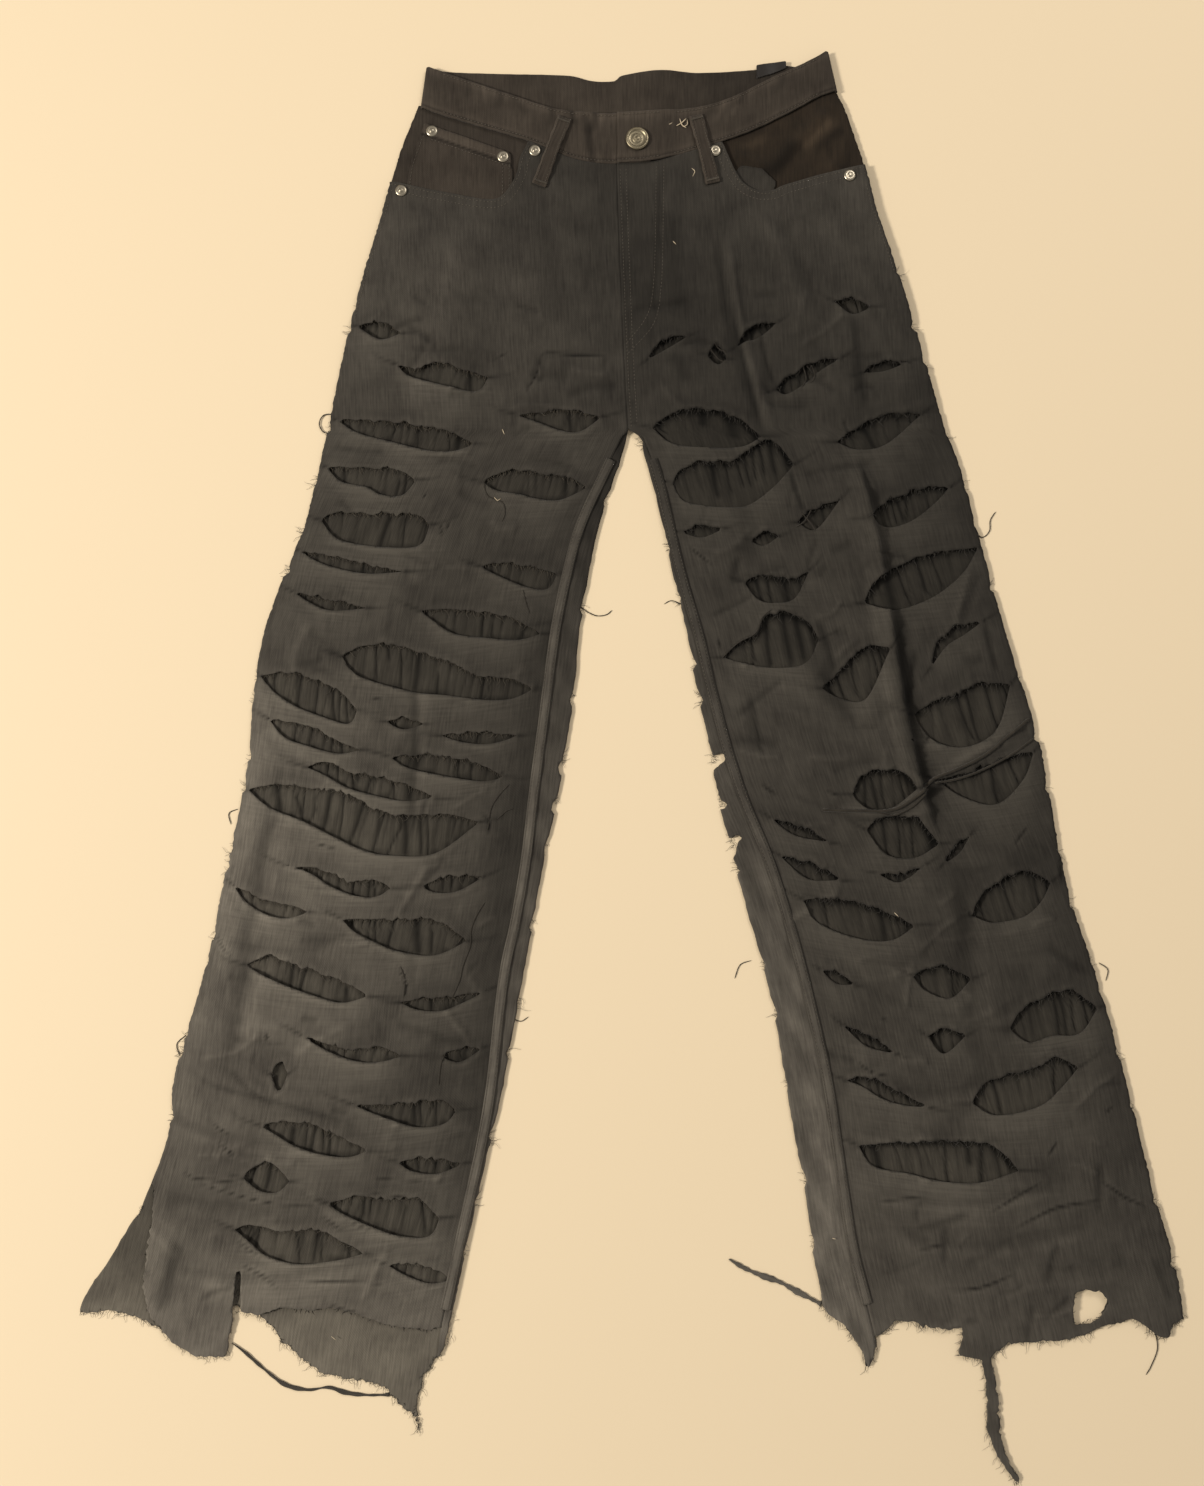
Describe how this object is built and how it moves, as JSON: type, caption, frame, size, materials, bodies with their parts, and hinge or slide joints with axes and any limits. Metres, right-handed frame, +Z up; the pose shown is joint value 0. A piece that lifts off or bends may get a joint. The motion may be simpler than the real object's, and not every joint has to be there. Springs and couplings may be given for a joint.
{
  "type": "ripped jeans laid flat",
  "caption": "Wide-leg denim jeans lying flat on their back, with rows of torn slits across both legs and ragged hems.",
  "frame": {"origin": "on the floor, under the middle of the outline of the garment as it lies", "axes": "+Y from the hems to the waistband, +X towards the wearer's left leg, +Z up from the floor"},
  "size_m": [0.9666, 1.301, 0.0118],
  "materials": {
    "denim": "washed-out black twill, worn and frayed",
    "denim_inside": "inside face of washed black twill, creased",
    "pocket_cloth": "plain dark pocket cotton, crumpled",
    "label": "black woven tag, blank",
    "nickel": "antique nickel, satin with dark recesses"
  },
  "bodies": {
    "root": {"front_right": "denim", "front_left": "denim", "back_right": "denim_inside", "back_left": "denim_inside", "waistband": "denim", "pocket_facing_right": "denim", "coin_pocket": "denim", "pocket_bag_left": "pocket_cloth", "pocket_facing_left": "denim", "belt_loop_right": "denim", "belt_loop_left": "denim", "inseam_right": "denim", "inseam_left": "denim", "waist_button": "nickel", "rivet_coin_outer": "nickel", "rivet_coin_inner": "nickel", "rivet_right_inner": "nickel", "rivet_right_outer": "nickel", "rivet_left_inner": "nickel", "rivet_left_outer": "nickel", "label_blank": "label", "hem_ribbon_right": "denim", "hem_strand_left": "denim"}
  },
  "joints": []
}
